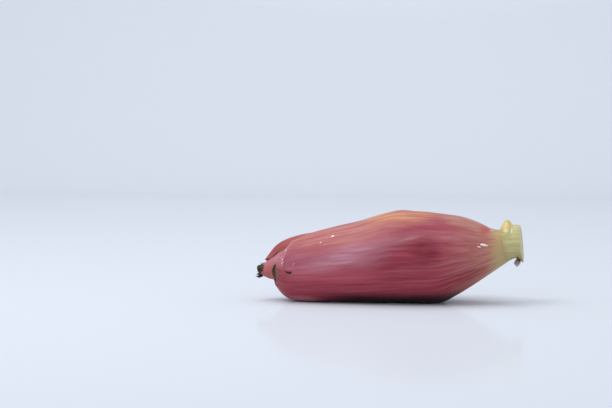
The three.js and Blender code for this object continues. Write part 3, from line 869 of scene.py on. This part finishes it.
shape, tints = spikes()
fibres = new_piece("frayed_fibres", *shape, tint=tints)
material, tree, shader, place, (x, y, z) = new_material("dried fibres")
flecks = noise(place, (1.2, 0.7, 0.7), 2)
tint = ramp(plus(attribute(tree, "tint"), times(flecks, 0.5)), 0.7, 1.3)
finish(shader, blend(tint, (0.014, 0.010, 0.007), (0.13, 0.12, 0.07)),
       ramp(flecks, 0.3, 0.7, 0.5, 0.75), (flecks, 0.3, 0.2))
fibres.data.materials.append(material)
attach(fibres, "root")

# ---- Cut stem ----
# The stalk: a ribbed, juicy, yellow-green stump that the bracts grow from, cut a little askew.
# The stump of a shed bract is a lump on top, and the cut has left a lip that flares downwards.

# Stations as for the bracts: the core inside the bud, then the stump, which goes on from the
# bud's first station up to the cut face.
CORE_FORM = np.array([
    [51, 44.4, 51, 37.6, 3.4],
    [62, 47.6, 62, 37.0, 5.3],
    [82, 52.6, 84, 39.6, 6.6],
    [97.2, 56.6, 103.4, 43.4, 7.2],
])
STEM_FORM = np.array([
    BODY[0],
    [102.5, 67.0, 107.6, 38.2, 14.6],
    [107.5, 68.6, 110.4, 39.5, 14.8],
    [112.2, 69.4, 114.4, 39.6, 15.3],
    [115.6, 68.8, 118.2, 36.6, 15.3],
    [116.8, 66.6, 119.5, 37.2, 13.6],
])
SCAR = dict(x=104.0, angle=80, half_length=4.2, half_angle=42, height=6.0, powers=(2.8, 2.6))
STEM_RIBS = [(0.12, 11, 0, 1), (0.08, 19, 0, 2), (0.05, 37, 0, 0), (0.03, 61, 0, 4)]
DISH_DEPTH = 0.9
STEM_ROWS = dict(core=24, stump=150, face=26)
STEM_COLUMNS = 200


def stem_rings():
    """Rings from the core's inner end out along the stump and in over the cut face to its middle.
    The hump, the ribs and the fibres move points outwards, away from the axis."""
    angle = np.linspace(0, 360, STEM_COLUMNS, endpoint=False)[None, :]
    core_t = np.linspace(0, 1, STEM_ROWS["core"])[:, None] * np.ones_like(angle)
    stump_t = np.linspace(0, 1, STEM_ROWS["stump"])[:, None] * np.ones_like(angle)
    core = form_point(CORE_FORM, core_t, angle * np.ones_like(core_t))
    turn = angle * np.ones_like(stump_t)
    a = np.radians(turn)
    stump = form_point(STEM_FORM, stump_t, turn)
    out = np.stack([np.zeros_like(a), -np.cos(a), np.sin(a)], -1)
    hump = bell(stump[..., 0] - SCAR["x"], SCAR["half_length"], SCAR["powers"][0])
    hump = hump * bell(wrapped(turn - SCAR["angle"]), SCAR["half_angle"], SCAR["powers"][1])
    lumpy = 1 + 0.10 * np.sin(9 * a + 2.0) * np.sin(0.8 * stump[..., 0])
    ribs = ribbed(STEM_RIBS, a, 0) * smooth(stump_t / 0.15)
    stump = stump + out * (SCAR["height"] * hump * lumpy + ribs)[..., None]
    rim = stump[-1]
    centre = rim.mean(0)
    inward = np.linspace(1, 0, STEM_ROWS["face"])[1:-1, None, None]
    face = centre + (rim - centre)[None] * inward
    dish = DISH_DEPTH * (1 - inward[..., 0] ** 4)
    fibres = 0.12 * np.sin(23 * a[:1] + 9 * inward[..., 0]) * np.sin(14 * inward[..., 0])
    face[..., 0] -= dish + fibres
    cut = np.concatenate([np.zeros(core[..., 0].size + stump[..., 0].size),
                          np.ones(face[..., 0].size), [0, 1]])
    rings = np.concatenate([core, stump, face])
    return (rings, core[0].mean(0), centre - np.array([DISH_DEPTH, 0, 0])), cut


shape, cut = stem_rings()
stem = new_piece("cut_stem_skin", *joined([shape]), cut=cut)

STEM_YELLOW, SCAR_ORANGE, SCAR_CREST = (0.72, 0.57, 0.20), (0.70, 0.42, 0.11), (0.52, 0.38, 0.17)
STEM_AXIS_Z = 53
# Marks on the stump: a colour, its strength, a centre and half sizes in X and Z in mm, and a
# softness. They are a painted highlight on the scar's crest, a painted glint beside it, the green
# under the scar, rust and the torn lip.
STUMP_MARKS_AND_GLINTS = [
    ((0.80, 0.70, 0.42), 0.7, (104.2, 65.2), (2, 1.8), 0.6),
    ((0.86, 0.88, 0.74), 0.8, (108.9, 65.2), (0.6, 2.2), 0.6),
    ((0.62, 0.59, 0.19), 0.6, (104.5, 61.8), (8.5, 1), 0.7),
    ((0.26, 0.13, 0.05), 0.8, (118.2, 38.5), (2.2, 2.6), 0.5),
    ((0.05, 0.022, 0.010), 0.95, (114.2, 39.2), (1, 3), 0.5),
]

material, tree, shader, place, (x, y, z) = new_material("cut stem")
turn = maths("ARCTAN2", y, minus(z, STEM_AXIS_Z))
grain = node(tree, "CombineXYZ", {0: x, 1: turn}).outputs[0]
ribs = noise(grain, (60, 0.16, 1), 3)
ribs_fine = noise(grain, (30, 0.05, 1), 2)
mottle = noise(place, (5, 4, 4), 3)
blotches = noise(place, (2.2, 2.2, 2.2), 3)
pores = noise(place, (3.0, 1.1, 1.1), 2)
slanting = plus(plus(x, times(ribs, 4)), times(z, 0.257))
orange = times(spot(x, z, (105.2, 69.0), (2.6, 2.8), 0.6),
               ramp(blotches, 0.40, 0.58, 0.2, 0.9))
crest = times(ramp(z, 70.5, 73.5), ramp(blotches, 0.35, 0.6, 0.3, 0.8))
colour = coated(
    (0.45, 0.39, 0.155),
    (ramp(ribs, 0.36, 0.64), (0.58, 0.52, 0.25)),
    (ramp(mottle, 0.4, 0.65, 0.0, 0.5), (0.50, 0.48, 0.22)),
    (ramp(slanting, 116.2, 122.8, 1.0, 0.0), STALK_TAN),
    (spot(x, z, (104.0, 70.0), (5.5, 5.8), 0.5, 0.9), STEM_YELLOW),
    (orange, SCAR_ORANGE),
    (crest, SCAR_CREST),
    # Painted shade: the stump darkens towards its underside.
    (ramp(z, 36, 50, 0.65, 0.0), (0.36, 0.30, 0.13)),
    *[(spot(x, z, centre, size, softness, strength), mark)
      for mark, strength, centre, size, softness in STUMP_MARKS_AND_GLINTS])
lip = ramp(plus(x, times(z, 0.095)), 121.2, 123.0, 0.0, 0.85)
flesh = coated((0.60, 0.56, 0.36), (ramp(pores, 0.42, 0.60), (0.44, 0.37, 0.17)),
               (ramp(mottle, 0.45, 0.70, 0.0, 0.5), (0.40, 0.25, 0.10)))
colour = coated(colour, (lip, (0.68, 0.60, 0.40)), (times(attribute(tree, "cut"), 0.9), flesh))
relief = plus(plus(ribs, ribs_fine), times(pores, attribute(tree, "cut")))
finish(shader, colour, ramp(ribs_fine, 0.3, 0.7, 0.34, 0.5), (relief, 0.3, 0.4),
       soft=0.12, radii=(0.004, 0.003, 0.0015))
stem.data.materials.append(material)
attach(stem, "root")
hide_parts("cut_stem")

# ---- Water and sap ----
# A few drops of water cling to the waxy skin, and a thin near-white patch on the neck is a
# painted glint.
# A bigger drop of greyish sap hangs under the cut lip, where a small tear bleeds.

# Each drop: how far along the bud, its angle, half length and half width in mm, height, turn.
DROPS = [
    (0.606, 50.5, 1.9, 1.3, 0.80, 50),
    (0.638, 42.0, 1.1, 0.9, 0.55, 60),
    (0.721, 11.5, 1.3, 1.1, 0.70, 0),
    (0.773, 23.0, 0.9, 1.2, 0.45, 80),
    (0.773, 15.5, 0.9, 1.2, 0.45, 85),
    (0.760, 41.5, 1.0, 1.3, 0.50, 60),
    (0.067, 70.0, 1.8, 0.7, 0.40, 0),
]
DROP_RINGS, DROP_COLUMNS = 9, 20
LET_IN = 0.12


def on_front(t, angle):
    """The point of the front bract's outer face at one place along the bud and round it."""
    bract = BRACTS[0]
    t, angle = np.array([[t]]), np.array([[angle]])
    s = (t - bract["start"]) / (bract["end"] - bract["start"])
    sink = front_shaping(s, t, angle, edge_distance(bract, s, t, angle))[0]
    depth = depth_under([], bract["form"], t, angle) - waves(t, angle) + sink
    return skin(bract["form"], t, angle, depth)[0, 0]


def dome(t, angle, half_length, half_width, height, turn):
    """A drop on the front bract: a cap whose height is the root of 1 less the radius squared,
    over a flat underside let into the skin by a hair."""
    dt, degrees = NORMAL_STEP["t"], NORMAL_STEP["degrees"]
    place = on_front(t, angle)
    lengthwise = on_front(t - dt, angle) - on_front(t + dt, angle)
    lengthwise /= np.linalg.norm(lengthwise)
    upwards = on_front(t, angle + degrees) - on_front(t, angle - degrees)
    outwards = np.cross(lengthwise, upwards)
    outwards /= np.linalg.norm(outwards)
    across = np.cross(outwards, lengthwise)
    tilt = np.radians(turn)
    first = np.cos(tilt) * lengthwise + np.sin(tilt) * across
    second = np.cross(outwards, first)
    radius = np.linspace(1, 0, DROP_RINGS)[:-1, None]
    a = np.linspace(0, 2 * np.pi, DROP_COLUMNS, endpoint=False)[None, :]
    flat = radius * (half_length * np.cos(a))
    wide = radius * (half_width * np.sin(a))
    high = height * np.sqrt(1 - radius ** 2) * np.ones_like(a) - LET_IN
    cap = place + flat[..., None] * first + wide[..., None] * second + high[..., None] * outwards
    return cap, place - LET_IN * outwards, place + (height - LET_IN) * outwards


water = new_piece("water_drops", *joined([dome(*drop) for drop in DROPS]))
material, tree, shader, place, (x, y, z) = new_material("water")
ripple = noise(place, (0.8, 0.8, 0.8), 2)
finish(shader, blend(ripple, (0.96, 0.90, 0.92), (1, 1, 1)),
       ramp(ripple, 0.3, 0.7, 0.02, 0.08), clear=1.0, ior=1.33)
water.data.materials.append(material)
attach(water, "root")

# A painted glint on the neck: thin, flat, near-white patches, placed as the drops are.
GLINT_PATCHES = [(0.109, 20.0, 4.0, 1.15, 0.45, -10), (0.134, 16.3, 2.0, 0.50, 0.30, -16)]

glint_patch = new_piece("neck_glint_patch", *joined([dome(*patch) for patch in GLINT_PATCHES]))
material, tree, shader, place, (x, y, z) = new_material("painted neck glint")
clouds = noise(place, (3.0, 1.2, 1.2), 3)
colour = blend(ramp(clouds, 0.36, 0.60), (0.70, 0.48, 0.48), (0.97, 0.93, 0.94))
finish(shader, colour, ramp(clouds, 0.3, 0.7, 0.25, 0.08), (clouds, 0.2, 0.2),
       soft=0.2, radii=(0.001, 0.001, 0.001))
glint_patch.data.materials.append(material)
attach(glint_patch, "root")

# The hanging drop, in mm: where it hangs, how far its top leans, and its greatest radius.
SAP_DROP = dict(x=113.6, y=-5.0, top=41.4, bottom=32.8, lean=1.0, radius=3.0)
SAP_RINGS, SAP_COLUMNS = 20, 28


def hanging_drop():
    """A pear shape hung from its top: its width is the sine of the way down, leaning low."""
    u = np.linspace(0, 1, SAP_RINGS + 2)[1:-1, None]
    a = np.linspace(0, 2 * np.pi, SAP_COLUMNS, endpoint=False)[None, :]
    wide = SAP_DROP["radius"] * np.sin(np.pi * u ** 1.25) ** 0.8
    z = SAP_DROP["top"] + (SAP_DROP["bottom"] - SAP_DROP["top"]) * u + 0 * a
    x = SAP_DROP["x"] + SAP_DROP["lean"] * (1 - u) + wide * np.cos(a)
    y = SAP_DROP["y"] + wide * np.sin(a)
    ends = [np.array([SAP_DROP["x"] + lean, SAP_DROP["y"], SAP_DROP[key]])
            for lean, key in ((SAP_DROP["lean"], "top"), (0.0, "bottom"))]
    return np.stack([x, y, z], -1)[:, ::-1], *ends


sap = new_piece("sap_drop", *joined([hanging_drop()]))
material, tree, shader, place, (x, y, z) = new_material("sap")
cloudy = noise(place, (1.6, 1.6, 2.2), 3)
rusty = ramp(plus(x, times(z, 0.5)), 132.0, 135.5, 0.0, 0.8)
colour = coated((0.20, 0.17, 0.15), (ramp(cloudy, 0.35, 0.65), (0.46, 0.43, 0.40)),
                (rusty, (0.12, 0.045, 0.018)))
finish(shader, colour, ramp(cloudy, 0.3, 0.7, 0.05, 0.14), clear=0.45, ior=1.42)
sap.data.materials.append(material)
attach(sap, "root")

# ---- Studio ----
# A glossy white sheet runs from the table up the wall behind in one curve, under soft lights.

# The sheet in metres: half its width, how far it comes forward, where its curve starts behind,
# the curve's radius, and the wall's height.
SHEET = dict(half=4.0, front=-3.0, back=1.6, radius=0.8, height=3.0)
SHEET_WHITE, SHEET_GLOSS = (0.680, 0.710, 0.758, 1), 0.26
ROOM_LIGHT, ROOM_STRENGTH = (0.86, 0.90, 0.975, 1), 0.86


def studio_sheet():
    """A floor that turns up into a wall along a quarter circle, carried straight along X."""
    turn = np.radians(np.linspace(0, 90, 25))
    curve_end = SHEET["back"] + SHEET["radius"]
    y = np.concatenate([[SHEET["front"]], SHEET["back"] + SHEET["radius"] * np.sin(turn),
                        [curve_end]])
    z = np.concatenate([[0.0], SHEET["radius"] * (1 - np.cos(turn)), [SHEET["height"]]])
    x = np.array([-SHEET["half"], SHEET["half"]])
    points = np.stack(np.broadcast_arrays(x[None, :], y[:, None], z[:, None]), -1)
    grid = np.arange(len(y) * 2).reshape(len(y), 2)
    return new_piece("studio_sheet", points.reshape(-1, 3) / MM,
                     quads(grid[:-1, 0], grid[:-1, 1], grid[1:, 1], grid[1:, 0]))


floor = studio_sheet()
material = bpy.data.materials.new("studio white")
material.use_nodes = True
tree = material.node_tree
tree.nodes.clear()
output = tree.nodes.new("ShaderNodeOutputMaterial")
diffuse = node(tree, "BsdfDiffuse", {"Color": SHEET_WHITE})
gloss = node(tree, "BsdfAnisotropic", {"Roughness": 0.10})
facing = node(tree, "Fresnel", {"IOR": 1.45})
sheen = times(facing.outputs[0], SHEET_GLOSS)
mix = node(tree, "MixShader", {0: sheen, 1: diffuse.outputs[0], 2: gloss.outputs[0]})
tree.links.new(mix.outputs[0], output.inputs[0])
floor.data.materials.append(material)

world = bpy.data.worlds.new("studio air")
bpy.context.scene.world = world
world.use_nodes = True
world.node_tree.nodes["Background"].inputs[0].default_value = ROOM_LIGHT
world.node_tree.nodes["Background"].inputs[1].default_value = ROOM_STRENGTH

# Each lamp: where it hangs and what it faces, its disc's diameter in metres, and its watts.
LAMPS = {
    "overhead softbox": ((-0.6, -0.35, 1.45), (0, 0, 0.03), 1.0, 7.4),
    "backdrop light": ((-0.4, 0.9, 2.4), (-0.2, 2.1, 0.0), 1.6, 16),
    "glint light": ((-0.55, -0.75, 1.3), (0, 0, 0.04), 0.12, 1.6),
}
for name, (place, target, size, power) in LAMPS.items():
    light = bpy.data.lights.new(name, "AREA")
    light.shape = "DISK"
    light.size = size
    light.energy = power
    lamp = bpy.data.objects.new(name, light)
    lamp.location = place
    lamp.rotation_euler = (Vector(target) - Vector(place)).to_track_quat("-Z", "Y").to_euler()
    bpy.context.scene.collection.objects.link(lamp)

# ---- Camera ----
# A long lens a little above the table and a little towards the stem end.

# What the frame shows across at the bud, how far the camera stands off, the point it is raised
# and turned about, and how far sideways and up the frame's middle is from there, in metres.
VIEW_WIDTH, DISTANCE, CENTRE = 0.5419872, 1.8, Vector((0, 0, 0.0406))
SIDEWAYS, UPWARDS = -0.0731, 0.0459
AZIMUTH, ELEVATION = np.radians(5.5), np.radians(5.0)
FILM_WIDTH = 36

towards = Vector((np.sin(AZIMUTH) * np.cos(ELEVATION), -np.cos(AZIMUTH) * np.cos(ELEVATION),
                  np.sin(ELEVATION)))
sideways = Vector((np.cos(AZIMUTH), np.sin(AZIMUTH), 0))
aim = CENTRE + sideways * SIDEWAYS + towards.cross(sideways) * UPWARDS
eye = CENTRE + towards * DISTANCE
back = (eye - aim).normalized()
right = Vector((0, 0, 1)).cross(back).normalized()
up = back.cross(right)
camera = bpy.data.cameras.new("camera")
camera.sensor_width = FILM_WIDTH
camera.lens = FILM_WIDTH * (eye - CENTRE).dot(back) / VIEW_WIDTH
viewpoint = bpy.data.objects.new("camera", camera)
viewpoint.matrix_world = Matrix((
    (right.x, up.x, back.x, eye.x),
    (right.y, up.y, back.y, eye.y),
    (right.z, up.z, back.z, eye.z),
    (0, 0, 0, 1)))
bpy.context.scene.collection.objects.link(viewpoint)
bpy.context.scene.camera = viewpoint
bpy.context.scene.view_settings.view_transform = "Standard"
